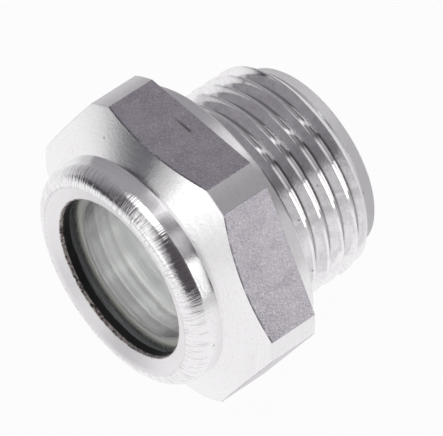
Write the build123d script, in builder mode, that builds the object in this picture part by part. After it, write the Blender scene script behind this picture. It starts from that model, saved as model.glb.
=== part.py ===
from build123d import *
import math
import os

# Threaded oil sight gauge: a turned aluminium body whose front lip is rolled over a seal ring and a
# glass disc, and whose rear stud screws into a tank wall.
# Frame: the gauge's axis is Y. The rear sealing face of the collar is Y = 0, the stud points to +Y,
# the glass looks towards -Y, and the gauge lies on one flat of its hexagon with +Z up. Millimetres.

# stud: ISO 228 G 3/8 external thread
thread_diameter = 16.662
thread_pitch = 1.337
thread_depth = 0.856
thread_half_angle = 27.5
thread_root_flat = 0.223  # a sixth of the pitch
thread_length = 7.35  # sealing face to where the last crest is bevelled off
first_groove = 1.38  # sealing face to the first full groove, measured at the top of the stud
runout_angle = 75.0  # turn over which that groove fades out towards the collar
groove_overshoot = 0.1  # how far the cutting profile stands outside the crests
pilot_relief = 0.225  # radial, under the thread's root
pilot_length = 1.0
pilot_chamfer = 0.18

# collar and hexagon
collar_relief = 0.05  # radial, under the hexagon's flats
collar_thickness = 1.0
collar_edge_break = 0.1
across_flats = 22.0
corner_diameter = 24.3  # the hexagon's corners are turned off to this size
hexagon_length = 4.0  # along the turned corners
shoulder_angle = 26.0  # slope of the front cone, from square to the axis
flat_cutter_reach = 1.0  # how far the cutter for the flats reaches past the turned corners

# rolled lip
lip_wall = 1.25  # seat bore to the outside of the lip
lip_height = 2.4  # cone to foremost ring
lip_round = 1.3  # outer rounding of the rolled edge, which starts at the foremost ring
lip_overhang = 1.2  # seat bore in to the lip's inner edge
lip_dip = 0.44  # how far the inner edge sinks below the foremost ring
lip_edge_thickness = 0.28

# glass, seal and the bores that hold them
glass_diameter = 15.0
glass_thickness = 2.0
glass_bevel = 0.25
glass_clearance = 0.1  # radial, to the seat bore
seal_thickness = 0.59
seal_clearance = 0.05  # radial, to the seat bore
bore_diameter = 11.4
bore_chamfer = 0.4

# radii, and stations along the axis
thread_radius = thread_diameter / 2
root_radius = thread_radius - thread_depth
pilot_radius = root_radius - pilot_relief
collar_radius = across_flats / 2 - collar_relief
corner_radius = corner_diameter / 2
bore_radius = bore_diameter / 2
seat_radius = glass_diameter / 2 + glass_clearance
lip_radius = seat_radius + lip_wall
nose_radius = lip_radius - lip_round
opening_radius = seat_radius - lip_overhang
corner_front = -collar_thickness - hexagon_length
lip_foot = corner_front - (corner_radius - lip_radius) * math.tan(math.radians(shoulder_angle))
lip_front = lip_foot - lip_height
opening_front = lip_front + lip_dip
lip_underside = opening_front + lip_edge_thickness
glass_front = lip_underside + seal_thickness
glass_back = glass_front + glass_thickness
thread_end = thread_length + thread_depth
stud_end = thread_end + pilot_length


def groove_section():
    """Outline of the thread groove where the thread starts: flat root, straight flanks, open outside."""
    flank = math.tan(math.radians(thread_half_angle))
    root_half_width = thread_root_flat / 2
    outer_half_width = root_half_width + (thread_depth + groove_overshoot) * flank
    outer_radius = thread_radius + groove_overshoot
    Polygon(
        (root_radius, first_groove - root_half_width),
        (outer_radius, first_groove - outer_half_width),
        (outer_radius, first_groove + outer_half_width),
        (root_radius, first_groove + root_half_width),
        align=None,
    )


os.makedirs("parts", exist_ok=True)

# the plane through the axis and the top of the stud: its x is the radius and its y is +Y
top_section = Plane(origin=(0, 0, 0), x_dir=(0, 0, 1), z_dir=(-1, 0, 0))

# body: the turned outside, the hexagon's flats, the bores, then the thread
with BuildPart() as body:
    with BuildSketch(Plane.XY):
        with BuildLine():
            slope = Line((opening_radius, opening_front), (nose_radius, lip_front))
            roll = CenterArc((nose_radius, lip_front + lip_round), lip_round, 270, 90)
            Polyline(
                roll @ 1,
                (lip_radius, lip_foot),
                (corner_radius, corner_front),
                (corner_radius, -collar_thickness),
                (collar_radius, -collar_thickness),
                (collar_radius, -collar_edge_break),
                (collar_radius - collar_edge_break, 0),
                (thread_radius, 0),
                (thread_radius, thread_length),
                (root_radius, thread_end),
                (pilot_radius, thread_end),
                (pilot_radius, stud_end - pilot_chamfer),
                (pilot_radius - pilot_chamfer, stud_end),
                (bore_radius + bore_chamfer, stud_end),
                (bore_radius, stud_end - bore_chamfer),
                (bore_radius, glass_back),
                (seat_radius, glass_back),
                (seat_radius, lip_underside),
                (opening_radius, lip_underside),
                slope @ 0,
            )
        make_face()
    revolve(axis=Axis.Y)

    # the bar's flats, cut down to across_flats
    with BuildSketch(Plane.XZ.offset(collar_thickness)):
        Circle(corner_radius + flat_cutter_reach)
        RegularPolygon(across_flats / 2, 6, major_radius=False, mode=Mode.SUBTRACT)
    extrude(amount=-lip_foot - collar_thickness, mode=Mode.SUBTRACT)

    # the thread groove, one turn after another to past the bevelled end
    groove_turns = math.ceil((thread_end + thread_pitch - first_groove) / thread_pitch)
    with BuildLine():
        groove_path = Helix(
            thread_pitch,
            groove_turns * thread_pitch,
            root_radius,
            center=(0, first_groove, 0),
            direction=(0, 1, 0),
        )
    with BuildSketch(top_section) as groove:
        groove_section()
    sweep(groove.sketch, path=groove_path, is_frenet=True, mode=Mode.SUBTRACT)

    # its run-out: the same section on a circle that leaves the stud within runout_angle
    runout_shift = (thread_depth + groove_overshoot) / (1 - math.cos(math.radians(runout_angle)))
    revolve(
        groove.sketch,
        axis=Axis((0, 0, -runout_shift), (0, -1, 0)),
        revolution_arc=runout_angle,
        mode=Mode.SUBTRACT,
    )
body.part.label = "body"
export_step(body.part, "parts/body.step")

# seal ring between the glass and the lip
with BuildPart() as seal_ring:
    with BuildSketch(Plane.XZ.offset(-glass_front)):
        Circle(seat_radius - seal_clearance)
        Circle(opening_radius, mode=Mode.SUBTRACT)
    extrude(amount=seal_thickness)
seal_ring.part.label = "seal_ring"
export_step(seal_ring.part, "parts/seal_ring.step")

# glass disc on the seat bore's floor
with BuildPart() as sight_glass:
    with BuildSketch(Plane.XZ.offset(-glass_back)):
        Circle(glass_diameter / 2)
    extrude(amount=glass_thickness)
    chamfer(sight_glass.edges().filter_by(GeomType.CIRCLE), glass_bevel)
sight_glass.part.label = "sight_glass"
export_step(sight_glass.part, "parts/sight_glass.step")
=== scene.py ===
import math
from functools import reduce
from types import SimpleNamespace

import bmesh
import bpy
from mathutils import Matrix, Vector


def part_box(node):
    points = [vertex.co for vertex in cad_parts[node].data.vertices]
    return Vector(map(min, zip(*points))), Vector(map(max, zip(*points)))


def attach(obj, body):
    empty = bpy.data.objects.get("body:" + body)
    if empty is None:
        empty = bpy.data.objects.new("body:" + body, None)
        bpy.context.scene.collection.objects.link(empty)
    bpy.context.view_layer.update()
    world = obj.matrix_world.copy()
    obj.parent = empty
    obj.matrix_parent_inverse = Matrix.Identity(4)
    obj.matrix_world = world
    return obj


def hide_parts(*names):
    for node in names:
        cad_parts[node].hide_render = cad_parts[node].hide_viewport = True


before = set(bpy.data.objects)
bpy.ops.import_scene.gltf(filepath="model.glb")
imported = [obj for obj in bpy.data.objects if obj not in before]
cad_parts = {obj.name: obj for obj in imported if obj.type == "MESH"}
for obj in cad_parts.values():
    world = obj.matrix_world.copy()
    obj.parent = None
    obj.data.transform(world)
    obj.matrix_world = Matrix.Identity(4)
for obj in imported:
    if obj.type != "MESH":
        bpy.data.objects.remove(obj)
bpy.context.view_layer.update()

MM = 0.001

# The gauge's axis is Y, with the glass towards -Y and the thread towards +Y. It lies on one flat.
BODY_LOW, BODY_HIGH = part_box("body")
GLASS_LOW, GLASS_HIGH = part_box("sight_glass")
FLOOR_Z = BODY_LOW.z

# pane: the sight glass, a hair clear of its seat
GLASS_BEVEL = 0.25 * MM
SEAT_FILM = 0.02 * MM
PANE_STEPS = 160
PANE_EDGE_ANGLE = math.radians(30)

# places along the body for its material, in mm from the sealing face
LIP_FRONT = BODY_LOW.y / MM
SEAT_LEDGE = GLASS_HIGH.y / MM
CORNER_FRONT = -5.0
COLLAR_FRONT = -1.0
SEALING_FACE = 0.0
THREAD_END = 8.2

# places across the body, in mm from the axis
HALF_FLATS = BODY_HIGH.z / MM
CORNER_RADIUS = BODY_HIGH.x / MM
SEAT_RADIUS = 7.6
LIP_NOSE_RADIUS = 7.55
THREAD_ROOT_RADIUS = 7.48
STUD_SKIN_RADIUS = 6.5
LIP_OPENING_RADIUS = 6.4
BORE_RADIUS = 5.7
CONE_SLOPE = math.tan(math.radians(26))
FLAT_SKIN = 0.02

# relief of the turned metal and the bar's skin, in mm
EDGE_WEAR = 0.045
GROOVE_DEPTH = 0.00105
CHATTER_DEPTH = 0.0315
TEAR_DEPTH = 0.14
SEAT_TEAR_DEPTH = 1.12
RING_DEPTH = 0.105
MOTTLE_DEPTH = 0.0077
THREAD_MOTTLE_DEPTH = 0.00315
GRAIN_DEPTH = 0.012
RUBBER_DEPTH = 0.004

# roughness of the turned metal
TURNED_ROUGHNESS = 0.17
DULL_ROUGHNESS = 0.53
ROLL_POLISH = 0.05
THREAD_POLISH = 0.09
TURNED_ANISOTROPY = 0.7
QUARTER_TURN = 0.25

# colours of the turned metal
GROOVE_GREY = (0.84, 0.835, 0.84, 1)
CREST_GREY = (0.90, 0.895, 0.90, 1)
MOTTLE_GREY = (0.66, 0.64, 0.65, 1)
CHATTER_GREY = (0.70, 0.69, 0.70, 1)
# pale white for the matt stud end, and for the painted glints on the seat's torn ring
PALE_END_AND_GLINT_WHITE = (0.98, 0.98, 0.98, 1)
# painted light: white for the lip's face, standing in for the light it catches
LIP_PAINTED_LIGHT = (0.97, 0.96, 0.965, 1)
# painted shade: dark grey for the thread's roots
ROOT_SHADE = (0.2, 0.19, 0.2, 1)
RIM_DARK_BROWN = (0.12, 0.09, 0.085, 1)
RIM_METAL = (0.80, 0.74, 0.72, 1)
SEAT_CREAM = (0.97, 0.96, 0.88, 1)
# painted shade: grey for the seat's ledge under the seal ring
SEAT_SHADE_GREY = (0.72, 0.72, 0.75, 1)
SEAT_LINE = (0.2, 0.2, 0.2, 1)
BORE_DARK = (0.50, 0.53, 0.54, 1)
BORE_LIGHT = (0.93, 0.93, 0.89, 1)
SMUDGE_GREY = (0.42, 0.40, 0.42, 1)
PIT_GREY = (0.25, 0.24, 0.24, 1)

# colours of the bar's skin
SKIN_DARK = (0.42, 0.395, 0.44, 1)
SKIN_LIGHT = (0.52, 0.495, 0.53, 1)
GRAIN_GREY = (0.64, 0.61, 0.65, 1)
SCUFF_WHITE = (0.90, 0.90, 0.90, 1)
MARK_BLACK = (0.18, 0.17, 0.18, 1)

# camera
CAMERA_AZIMUTH = 48.3
CAMERA_ELEVATION = 48.4
CAMERA_DISTANCE = 437.4 * MM
CAMERA_AIM = Vector((0.45, 0.60, 0.05)) * MM
CAMERA_ROLL = 0.54
CAMERA_LENS = 502.6
CAMERA_SENSOR = 36.0

# stage, in metres
FLOOR_HALF_WIDTH = 1.2
FLOOR_WHITE = (1, 0.99, 1, 1)
FLOOR_GLOW_SEEN = 0.97
FLOOR_BRIGHT_WITHIN = 0.040
FLOOR_DIM_FROM = 0.100
FLOOR_DIM = 0.72
CARD_AZIMUTHS = (-64, -25)
CARD_DISTANCE = 0.108
CARD_HEIGHT = 0.03

# lamps, in metres
WALL_LAMP_HEIGHT = 0.44
LAMP_DISTANCE = 0.5


def direction(azimuth, elevation):
    """Unit vector from the object towards a place, from degrees; azimuth 0 is -Y and 90 is +X."""
    azimuth = math.radians(azimuth)
    elevation = math.radians(elevation)
    return Vector((
        math.sin(azimuth) * math.cos(elevation),
        -math.cos(azimuth) * math.cos(elevation),
        math.sin(elevation),
    ))


def add_object(name, data):
    thing = bpy.data.objects.new(name, data)
    bpy.context.scene.collection.objects.link(thing)
    return thing


def add_camera():
    data = bpy.data.cameras.new("camera")
    data.lens = CAMERA_LENS
    data.sensor_width = CAMERA_SENSOR
    data.clip_start = 0.01
    data.clip_end = 20
    camera = add_object("camera", data)
    towards = direction(CAMERA_AZIMUTH, CAMERA_ELEVATION)
    camera.location = CAMERA_AIM + towards * CAMERA_DISTANCE
    look = (-towards).to_track_quat("-Z", "Y").to_matrix().to_4x4()
    roll = Matrix.Rotation(math.radians(CAMERA_ROLL), 4, "Z")
    camera.rotation_mode = "QUATERNION"
    camera.rotation_quaternion = (look @ roll).to_quaternion()
    bpy.context.scene.camera = camera


class Nodes:
    """Short calls for building a node tree."""

    def __init__(self, owner):
        owner.use_nodes = True
        self.tree = owner.node_tree
        self.tree.nodes.clear()

    def add(self, kind, **settings):
        node = self.tree.nodes.new(kind)
        for name, value in settings.items():
            setattr(node, name, value)
        return node

    def link(self, source, target):
        self.tree.links.new(source, target)

    def feed(self, socket, value):
        """Puts a number, a colour or another node's output on a socket."""
        if isinstance(value, bpy.types.NodeSocket):
            self.link(value, socket)
        else:
            socket.default_value = value

    def object_place(self):
        return self.add("ShaderNodeTexCoord").outputs["Object"]

    def math(self, operation, a, b=0.0, c=0.0, clamp=False):
        node = self.add("ShaderNodeMath", operation=operation, use_clamp=clamp)
        for socket, value in zip(node.inputs, (a, b, c)):
            self.feed(socket, value)
        return node.outputs[0]

    def product(self, *values):
        return reduce(lambda a, b: self.math("MULTIPLY", a, b), values)

    def highest(self, *values):
        return reduce(lambda a, b: self.math("MAXIMUM", a, b), values)

    def dot(self, a, vector):
        node = self.add("ShaderNodeVectorMath", operation="DOT_PRODUCT")
        self.feed(node.inputs[0], a)
        self.feed(node.inputs[1], vector)
        return node.outputs["Value"]

    def length(self, vector):
        node = self.add("ShaderNodeVectorMath", operation="LENGTH")
        self.link(vector, node.inputs[0])
        return node.outputs["Value"]

    def scaled(self, vector, factor):
        node = self.add("ShaderNodeVectorMath", operation="SCALE")
        self.feed(node.inputs[0], vector)
        node.inputs["Scale"].default_value = factor
        return node.outputs[0]

    def combine(self, x, y, z):
        node = self.add("ShaderNodeCombineXYZ")
        for socket, value in zip(node.inputs, (x, y, z)):
            self.feed(socket, value)
        return node.outputs[0]

    def ramp(self, value, start, end):
        """0 at start, 1 at end, smooth between; start may be the larger."""
        node = self.add("ShaderNodeMapRange", interpolation_type="SMOOTHSTEP")
        self.feed(node.inputs["Value"], value)
        node.inputs["From Min"].default_value = start
        node.inputs["From Max"].default_value = end
        return node.outputs["Result"]

    def band(self, value, rise, fall):
        """1 between the pair where it rises and the pair where it falls, 0 outside them."""
        return self.product(self.ramp(value, *rise), self.ramp(value, *reversed(fall)))

    def mix(self, factor, a, b):
        node = self.add("ShaderNodeMix", data_type="RGBA")
        self.feed(node.inputs[0], factor)
        self.feed(node.inputs[6], a)
        self.feed(node.inputs[7], b)
        return node.outputs[2]

    def layered(self, colour, layers):
        """Lays each (cover, strength, colour) over the last."""
        for cover, strength, layer in layers:
            colour = self.mix(self.math("MULTIPLY", cover, strength), colour, layer)
        return colour

    def noise(self, vector, scale, detail=3.0, roughness=0.5, distortion=0.0):
        node = self.add("ShaderNodeTexNoise")
        self.feed(node.inputs["Vector"], vector)
        node.inputs["Scale"].default_value = scale
        node.inputs["Detail"].default_value = detail
        node.inputs["Roughness"].default_value = roughness
        node.inputs["Distortion"].default_value = distortion
        return node.outputs["Fac"]

    def bump(self, height, distance, normal=None):
        node = self.add("ShaderNodeBump")
        node.inputs["Distance"].default_value = distance
        self.feed(node.inputs["Height"], height)
        if normal is not None:
            self.link(normal, node.inputs["Normal"])
        return node.outputs[0]

    def worn_edges(self, radius):
        """Normals that round the sharp edges a little, to catch the light."""
        node = self.add("ShaderNodeBevel", samples=6)
        node.inputs["Radius"].default_value = radius
        return node.outputs[0]

    def shader(self, kind, inputs):
        """A shader of one kind, with its inputs by name."""
        node = self.add(kind)
        for name, value in inputs.items():
            self.feed(node.inputs[name], value)
        return node.outputs[0]

    def mix_shaders(self, factor, a, b):
        node = self.add("ShaderNodeMixShader")
        for socket, value in zip(node.inputs, (factor, a, b)):
            self.feed(socket, value)
        return node.outputs[0]

    def surface(self, shader, output="ShaderNodeOutputMaterial"):
        self.link(shader, self.add(output).inputs["Surface"])


class BodyNodes(Nodes):
    """Nodes that also know each point's place on the gauge, in mm."""

    def __init__(self, owner):
        super().__init__(owner)
        self.place = self.scaled(self.object_place(), 1 / MM)
        axes = self.add("ShaderNodeSeparateXYZ")
        self.link(self.place, axes.inputs[0])
        self.x, self.y, self.z = axes.outputs
        squares = self.math("ADD", self.product(self.x, self.x), self.product(self.z, self.z))
        self.radius = self.math("SQRT", squares)
        self.turn = self.math("ARCTAN2", self.x, self.z)


def hexagon_flats(n):
    """The six flats, where the drawn bar's skin is left."""
    reach = n.math("ABSOLUTE", n.z)
    for side in (-1, 1):
        outwards = (side * math.sin(math.pi / 3), 0, math.cos(math.pi / 3))
        reach = n.highest(reach, n.math("ABSOLUTE", n.dot(n.place, outwards)))
    return n.math("GREATER_THAN", reach, HALF_FLATS - FLAT_SKIN)


def lip_zones(n, zones):
    """The rolled edge, the lip's face and the torn rim of its opening."""
    zones.roll = n.product(
        n.ramp(n.radius, LIP_NOSE_RADIUS - 0.35, LIP_NOSE_RADIUS + 0.15),
        n.ramp(n.y, LIP_FRONT + 1.5, LIP_FRONT + 0.9),
    )
    zones.lip_face = n.product(
        n.ramp(n.radius, LIP_NOSE_RADIUS + 0.15, LIP_NOSE_RADIUS - 0.15),
        n.ramp(n.y, LIP_FRONT + 0.8, LIP_FRONT + 0.6),
    )
    zones.rim = n.product(
        n.ramp(n.radius, LIP_OPENING_RADIUS + 0.1, LIP_OPENING_RADIUS + 0.02),
        n.ramp(n.y, LIP_FRONT + 1.0, LIP_FRONT + 0.9),
    )


def seat_zones(n, zones):
    """The glass's seat with its ledge, the torn ring on the ledge, and the bore behind it."""
    zones.seat = n.product(
        n.ramp(n.radius, SEAT_RADIUS + 0.1, SEAT_RADIUS + 0.05),
        n.ramp(n.y, SEAT_LEDGE + 0.1, SEAT_LEDGE + 0.05),
    )
    zones.ledge = n.product(
        n.band(n.y, (SEAT_LEDGE - 0.05, SEAT_LEDGE - 0.02), (SEAT_LEDGE + 0.05, SEAT_LEDGE + 0.1)),
        n.ramp(n.radius, SEAT_RADIUS + 0.3, SEAT_RADIUS + 0.2),
    )
    ring_rise = (LIP_OPENING_RADIUS, LIP_OPENING_RADIUS + 0.1)
    ring_fall = (LIP_OPENING_RADIUS + 0.45, LIP_OPENING_RADIUS + 0.55)
    zones.torn_ring = n.product(n.band(n.radius, ring_rise, ring_fall), zones.ledge)
    zones.bore = n.ramp(n.radius, BORE_RADIUS + 0.2, BORE_RADIUS + 0.1)


def stud_zones(n, zones):
    """The collar and the hexagon's corners, the thread with its roots, and the stud's end."""
    skin = n.ramp(n.radius, STUD_SKIN_RADIUS, STUD_SKIN_RADIUS + 0.1)
    collar_rise = (COLLAR_FRONT - 0.02, COLLAR_FRONT + 0.02)
    zones.collar = n.band(n.y, collar_rise, (SEALING_FACE, SEALING_FACE + 0.04))
    zones.corners = n.ramp(n.radius, CORNER_RADIUS - 0.15, CORNER_RADIUS - 0.05)
    zones.thread = n.band(n.y, (SEALING_FACE + 0.5, SEALING_FACE + 0.9), (THREAD_END - 1.0, THREAD_END - 0.7))
    zones.polished = n.band(n.y, (SEALING_FACE, SEALING_FACE + 0.1), (THREAD_END - 1.0, THREAD_END - 0.8))
    root = n.ramp(n.radius, THREAD_ROOT_RADIUS + 0.18, THREAD_ROOT_RADIUS + 0.02)
    zones.thread_root = n.product(root, zones.thread, skin)
    zones.stud_end = n.product(n.ramp(n.y, THREAD_END - 0.05, THREAD_END + 0.05), skin)


def turned_zones(n):
    """Masks from 0 to 1 for the places where the turned metal looks different."""
    zones = SimpleNamespace()
    lip_zones(n, zones)
    seat_zones(n, zones)
    stud_zones(n, zones)
    return zones


def turning_grooves(n):
    """Fine grooves round the axis, uneven from one to the next and along their length."""
    place = n.combine(n.product(n.turn, 0.12), n.math("ADD", n.y, n.radius), 0.0)
    return n.noise(place, 12.0, detail=5.0, roughness=0.6)


def roller_chatter(n, zones):
    """Marks that the roller left on the rounding of the lip, square to the grooves."""
    around = n.combine(n.math("SINE", n.turn), n.math("COSINE", n.turn), n.product(n.radius, 0.02))
    chatter = n.noise(around, 55.0, detail=2.0, roughness=0.6)
    return n.product(n.math("SUBTRACT", chatter, 0.5), zones.roll)


def boring_rings(n):
    """Rings that the boring tool left in the bore."""
    along = n.math("ADD", n.y, n.product(n.turn, 0.02))
    return n.noise(n.combine(0.0, along, 0.0), 1.0, detail=1.5)


def turned_marks(n, zones):
    """Patterns that the relief and the colour of the turned metal share."""
    return SimpleNamespace(
        grooves=turning_grooves(n),
        chatter=roller_chatter(n, zones),
        rings=boring_rings(n),
        mottle=n.noise(n.place, 4.5, detail=4.0, roughness=0.7),
        speckle=n.noise(n.place, 4.0, detail=4.0, roughness=0.7),
    )


def turned_normal(n, zones, marks, edges):
    tears = n.noise(n.place, 6.0, detail=3.0)
    tear_depth = n.highest(n.product(zones.rim, TEAR_DEPTH), n.product(zones.torn_ring, SEAT_TEAR_DEPTH))
    finer = THREAD_MOTTLE_DEPTH - MOTTLE_DEPTH
    reliefs = (
        (marks.grooves, GROOVE_DEPTH),
        (marks.chatter, CHATTER_DEPTH),
        (marks.rings, n.product(zones.bore, RING_DEPTH)),
        (marks.mottle, n.math("MULTIPLY_ADD", zones.polished, finer, MOTTLE_DEPTH)),
        (tears, tear_depth),
    )
    height = 0.0
    for pattern, depth in reliefs:
        height = n.math("MULTIPLY_ADD", pattern, depth, height)
    return n.bump(height, MM, edges)


def turned_roughness(n, zones):
    """Duller on the lip's face, the seat, the corners, the collar and the stud's end."""
    dull = n.highest(
        n.product(zones.lip_face, 0.2),
        n.math("SUBTRACT", zones.seat, n.product(zones.torn_ring, 0.8), clamp=True),
        n.product(n.highest(zones.corners, zones.collar), 0.5),
        zones.stud_end,
    )
    roughness = n.math("MULTIPLY_ADD", dull, DULL_ROUGHNESS - TURNED_ROUGHNESS, TURNED_ROUGHNESS)
    roughness = n.math("MULTIPLY_ADD", zones.roll, -ROLL_POLISH, roughness)
    return n.math("MULTIPLY_ADD", zones.polished, -THREAD_POLISH, roughness)


def seat_colour(n):
    """Cream by the bore with a dark line at its edge, and painted shade in grey further out under the seal
    ring, past a torn border.
    """
    border = n.math("MULTIPLY_ADD", n.noise(n.place, 5.0, detail=3.0), 0.8, n.radius)
    colour = n.mix(n.ramp(border, 6.95, 7.05), SEAT_CREAM, SEAT_SHADE_GREY)
    return n.mix(n.ramp(n.radius, BORE_RADIUS + 0.16, BORE_RADIUS + 0.08), colour, SEAT_LINE)


def pits(n):
    """Sparse small pits."""
    cells = n.add("ShaderNodeTexVoronoi")
    n.link(n.place, cells.inputs["Vector"])
    cells.inputs["Scale"].default_value = 0.35
    return n.ramp(cells.outputs["Distance"], 0.05, 0.02)


def turned_colour(n, zones, marks, painted_glints):
    metal = n.mix(n.ramp(marks.grooves, 0.3, 0.7), GROOVE_GREY, CREST_GREY)
    rim = n.mix(n.ramp(marks.speckle, 0.38, 0.58), RIM_DARK_BROWN, RIM_METAL)
    bored = n.mix(n.ramp(marks.rings, 0.38, 0.6), BORE_DARK, BORE_LIGHT)
    smudge = n.ramp(n.noise(n.place, 0.7, detail=5.0, roughness=0.7, distortion=0.5), 0.42, 0.62)
    return n.layered(metal, (
        (n.ramp(marks.mottle, 0.5, 0.75), 0.5, MOTTLE_GREY),
        (n.ramp(marks.chatter, 0.02, 0.12), 1.0, CHATTER_GREY),
        (zones.stud_end, 1.0, PALE_END_AND_GLINT_WHITE),
        # painted light: the lip's face is whitened for the light it catches
        (zones.lip_face, 0.6, LIP_PAINTED_LIGHT),
        # painted shade: the thread's roots are darkened
        (zones.thread_root, 0.5, ROOT_SHADE),
        # the rim of the lip's opening: dark brown, with lighter specks
        (zones.rim, 1.0, rim),
        # the seat's ledge: cream, with painted shade in grey under the seal ring
        (zones.ledge, 1.0, seat_colour(n)),
        # painted glints: matt white specks on the seat's torn ring
        (painted_glints, 1.0, PALE_END_AND_GLINT_WHITE),
        (zones.bore, 0.6, bored),
        (n.product(smudge, zones.thread), 0.2, SMUDGE_GREY),
        (pits(n), 0.7, PIT_GREY),
    ))


def turned_metal(n, edges):
    """Bright turned aluminium, with a matt stud end and painted glints as matt white specks on the glass's
    seat.
    """
    zones = turned_zones(n)
    marks = turned_marks(n, zones)
    # painted glints: white matt specks on the torn ring of the seat
    painted_glints = n.product(zones.torn_ring, n.ramp(marks.speckle, 0.4, 0.55))
    matt = n.highest(n.product(zones.stud_end, 0.9), n.product(zones.ledge, 0.8), painted_glints)
    tangent = n.add("ShaderNodeTangent", direction_type="RADIAL", axis="Y")
    return n.shader("ShaderNodeBsdfPrincipled", {
        "Base Color": turned_colour(n, zones, marks, painted_glints),
        "Metallic": n.math("SUBTRACT", 1.0, matt),
        "Roughness": turned_roughness(n, zones),
        "Anisotropic": n.math("MULTIPLY_ADD", zones.roll, -TURNED_ANISOTROPY, TURNED_ANISOTROPY),
        "Anisotropic Rotation": QUARTER_TURN,
        "Tangent": tangent.outputs[0],
        "Normal": turned_normal(n, zones, marks, edges),
    })


def scuffs(n, along_bar):
    """Short bright lines in patches."""
    lines = n.math("SUBTRACT", n.noise(along_bar, 1.6, detail=2.0, distortion=1.5), 0.5)
    patches = n.ramp(n.noise(n.place, 2.3), 0.5, 0.62)
    return n.product(n.ramp(n.math("ABSOLUTE", lines), 0.02, 0.0), patches)


def scratch(n):
    """One dark scratch across the top flat."""
    across = n.band(n.x, (-2.0, -0.2), (0.2, 0.45))
    along = n.ramp(n.math("ABSOLUTE", n.math("ADD", n.y, 2.2)), 0.16, 0.02)
    return n.product(across, along, n.math("GREATER_THAN", n.z, HALF_FLATS - FLAT_SKIN))


def burr(n):
    """Thin broken line where the flats were cut into the front cone."""
    cone = n.math("MULTIPLY_ADD", n.radius, CONE_SLOPE, CORNER_FRONT - CONE_SLOPE * CORNER_RADIUS)
    beside = n.ramp(n.math("SUBTRACT", n.y, cone), 0.17, 0.05)
    return n.product(beside, n.ramp(n.noise(n.place, 1.5, detail=3.0), 0.36, 0.52))


def bar_skin(n, edges):
    """Drawn bar: fine grain, slightly longer along the bar, over soft blotches."""
    along_bar = n.combine(n.x, n.product(n.y, 0.6), n.z)
    grain = n.noise(along_bar, 8.0, detail=3.0, roughness=0.65)
    blotches = n.noise(along_bar, 0.9, detail=4.0, roughness=0.65, distortion=0.6)
    skin = n.mix(n.ramp(blotches, 0.35, 0.65), SKIN_DARK, SKIN_LIGHT)
    skin = n.layered(skin, (
        (n.ramp(grain, 0.4, 0.75), 1.0, GRAIN_GREY),
        (scuffs(n, along_bar), 0.6, SCUFF_WHITE),
        (n.highest(scratch(n), n.product(burr(n), 0.85)), 1.0, MARK_BLACK),
    ))
    return n.shader("ShaderNodeBsdfPrincipled", {
        "Base Color": skin,
        "Metallic": 1.0,
        "Roughness": n.math("MULTIPLY_ADD", grain, 0.12, 0.22),
        "Normal": n.bump(grain, GRAIN_DEPTH * MM, edges),
    })


def aluminium():
    """Bare machined aluminium: turned all round, with drawn-bar skin left on the hexagon's flats."""
    material = bpy.data.materials.new("machined_aluminium")
    n = BodyNodes(material)
    edges = n.worn_edges(EDGE_WEAR * MM)
    n.surface(n.mix_shaders(hexagon_flats(n), turned_metal(n, edges), bar_skin(n, edges)))
    return material


def rubber():
    """Matt black nitrile rubber."""
    material = bpy.data.materials.new("nitrile_rubber")
    n = Nodes(material)
    speckle = n.noise(n.object_place(), 9000.0, detail=2.0)
    n.surface(n.shader("ShaderNodeBsdfPrincipled", {
        "Base Color": n.mix(speckle, (0.006, 0.006, 0.007, 1), (0.02, 0.02, 0.021, 1)),
        "Roughness": 0.55,
        "Normal": n.bump(speckle, RUBBER_DEPTH * MM),
    }))
    return material


def glass():
    """Clear float glass, a little green; the lamps shine through it onto the seat and the bore."""
    material = bpy.data.materials.new("float_glass")
    n = Nodes(material)
    haze = n.noise(n.object_place(), 900.0, detail=3.0)
    clear = n.shader("ShaderNodeBsdfPrincipled", {
        "Base Color": n.mix(haze, (0.95, 0.985, 0.965, 1), (0.975, 0.995, 0.98, 1)),
        "Roughness": n.product(haze, 0.02),
        "IOR": 1.52,
        "Transmission Weight": 1.0,
    })
    passed = n.shader("ShaderNodeBsdfTransparent", {"Color": (0.95, 0.97, 0.96, 1)})
    n.surface(n.mix_shaders(n.add("ShaderNodeLightPath").outputs["Is Shadow Ray"], clear, passed))
    return material


def white_floor():
    """White to the camera with a little of the shadow on it; in reflections white near the gauge."""
    material = bpy.data.materials.new("white_floor")
    n = Nodes(material)
    rays = n.add("ShaderNodeLightPath").outputs
    seen = rays["Is Camera Ray"]
    mirrored = n.highest(rays["Is Glossy Ray"], rays["Is Transmission Ray"])
    near = n.ramp(n.length(n.object_place()), FLOOR_DIM_FROM, FLOOR_BRIGHT_WITHIN)
    brightness = n.highest(seen, n.math("MULTIPLY_ADD", near, 1 - FLOOR_DIM, FLOOR_DIM))
    shaded = n.shader("ShaderNodeBsdfDiffuse", {"Color": (0.9, 0.9, 0.9, 1)})
    glow = n.shader("ShaderNodeEmission", {"Color": FLOOR_WHITE, "Strength": brightness})
    n.surface(n.mix_shaders(n.highest(mirrored, n.product(seen, FLOOR_GLOW_SEEN)), shaded, glow))
    return material


def grey_card():
    material = bpy.data.materials.new("dark_card")
    n = Nodes(material)
    n.surface(n.shader("ShaderNodeBsdfDiffuse", {"Color": (0.16, 0.16, 0.185, 1)}))
    return material


def paint(node, material):
    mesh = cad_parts[node].data
    mesh.materials.clear()
    mesh.materials.append(material)


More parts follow.
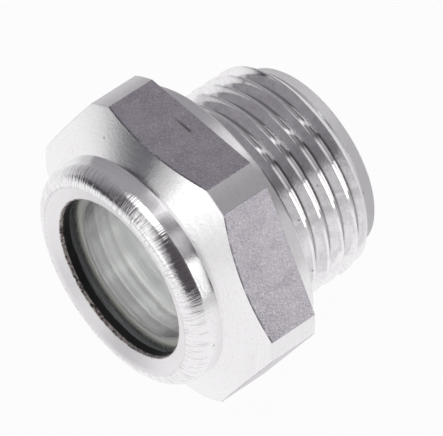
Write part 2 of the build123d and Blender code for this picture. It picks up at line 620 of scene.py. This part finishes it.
def pane_mesh():
    """A disc with bevelled edges, from the rings of its outline."""
    back = GLASS_HIGH.y - SEAT_FILM
    front = GLASS_LOW.y
    radius = GLASS_HIGH.x
    outline = (
        (radius - GLASS_BEVEL, back),
        (radius, back - GLASS_BEVEL),
        (radius, front + GLASS_BEVEL),
        (radius - GLASS_BEVEL, front),
    )
    shape = bmesh.new()
    turns = [2 * math.pi * step / PANE_STEPS for step in range(PANE_STEPS)]
    rings = [[shape.verts.new((r * math.sin(t), y, r * math.cos(t))) for t in turns] for r, y in outline]
    shape.faces.new(rings[0])
    shape.faces.new(rings[-1])
    for near, far in zip(rings, rings[1:]):
        for step in range(PANE_STEPS):
            after = (step + 1) % PANE_STEPS
            shape.faces.new((near[step], near[after], far[after], far[step]))
    bmesh.ops.recalc_face_normals(shape, faces=shape.faces)
    mesh = bpy.data.meshes.new("sight_glass_pane")
    shape.to_mesh(mesh)
    shape.free()
    mesh.shade_smooth()
    mesh.set_sharp_from_angle(angle=PANE_EDGE_ANGLE)
    return mesh


def add_pane(material):
    """Stands for the sight glass, a hair clear of its seat, so that faces that touch render as two."""
    mesh = pane_mesh()
    mesh.materials.append(material)
    pane = add_object("sight_glass_pane", mesh)
    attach(pane, "root")
    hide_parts("sight_glass")


def add_sheet(name, corners, material):
    mesh = bpy.data.meshes.new(name)
    mesh.from_pydata(corners, [], [(0, 1, 2, 3)])
    mesh.materials.append(material)
    sheet = add_object(name, mesh)
    return sheet


def add_floor():
    sides = ((-1, -1), (1, -1), (1, 1), (-1, 1))
    corners = [(x * FLOOR_HALF_WIDTH, y * FLOOR_HALF_WIDTH, FLOOR_Z) for x, y in sides]
    add_sheet("floor", corners, white_floor())


def add_dark_card():
    """A low card at the front left, which darkens what the metal mirrors there."""
    left, right = (direction(azimuth, 0) * CARD_DISTANCE for azimuth in CARD_AZIMUTHS)
    low = Vector((0, 0, FLOOR_Z))
    high = Vector((0, 0, FLOOR_Z + CARD_HEIGHT))
    card = add_sheet("dark_card", (left + low, right + low, right + high, left + high), grey_card())
    card.visible_camera = False


def add_world():
    """A dim room, lighter to the left, behind and overhead."""
    world = bpy.data.worlds.new("studio")
    bpy.context.scene.world = world
    n = Nodes(world)
    way = n.add("ShaderNodeTexCoord").outputs["Generated"]
    lit_side = n.ramp(n.dot(way, (-0.8, 0.8, 0.0)), -0.45, 0.8)
    walls = n.mix(lit_side, (0.095, 0.085, 0.095, 1), (0.37, 0.355, 0.38, 1))
    ceiling = n.ramp(n.dot(way, (0.0, 0.0, 1.0)), 0.93, 0.99)
    room = n.shader("ShaderNodeBackground", {"Color": n.mix(ceiling, walls, (0.9, 0.89, 0.9, 1))})
    n.surface(room, "ShaderNodeOutputWorld")


def softbox(name, azimuth, elevation, distance, size, radiance):
    """Area lamp that faces the gauge; radiance 1 shows as white."""
    data = bpy.data.lights.new(name, "AREA")
    data.shape = "RECTANGLE"
    data.size, data.size_y = size
    data.energy = radiance * math.pi * data.size * data.size_y
    lamp = add_object(name, data)
    towards = direction(azimuth, elevation)
    lamp.location = towards * distance
    lamp.rotation_euler = (-towards).to_track_quat("-Z", "Y").to_euler()
    lamp.visible_camera = False
    return lamp


def wall_softbox(name, azimuth, distance, width, radiance):
    """Upright lamp that stands on the floor."""
    lamp = softbox(name, azimuth, 0, distance, (width, WALL_LAMP_HEIGHT), radiance)
    lamp.location.z = FLOOR_Z + WALL_LAMP_HEIGHT / 2


def add_lamps():
    wall_softbox("front_softbox", azimuth=-2, distance=0.132, width=0.067, radiance=0.95)
    wall_softbox("front_softbox_right", azimuth=23, distance=0.125, width=0.045, radiance=0.3)
    softbox("right_softbox", 118, 13.5, LAMP_DISTANCE, size=(0.079, 0.335), radiance=1.8)
    softbox("right_softbox_edge", 130.5, 26, LAMP_DISTANCE, size=(0.125, 0.62), radiance=0.55)
    softbox("back_strip", 174, 64, LAMP_DISTANCE, size=(0.05, 0.10), radiance=0.8)
    softbox("top_softbox", 0, 90, LAMP_DISTANCE, size=(0.34, 0.34), radiance=1.15)


add_camera()
add_floor()
add_dark_card()
add_world()
add_lamps()

paint("body", aluminium())
paint("seal_ring", rubber())
add_pane(glass())

bpy.context.scene.view_settings.view_transform = "Standard"
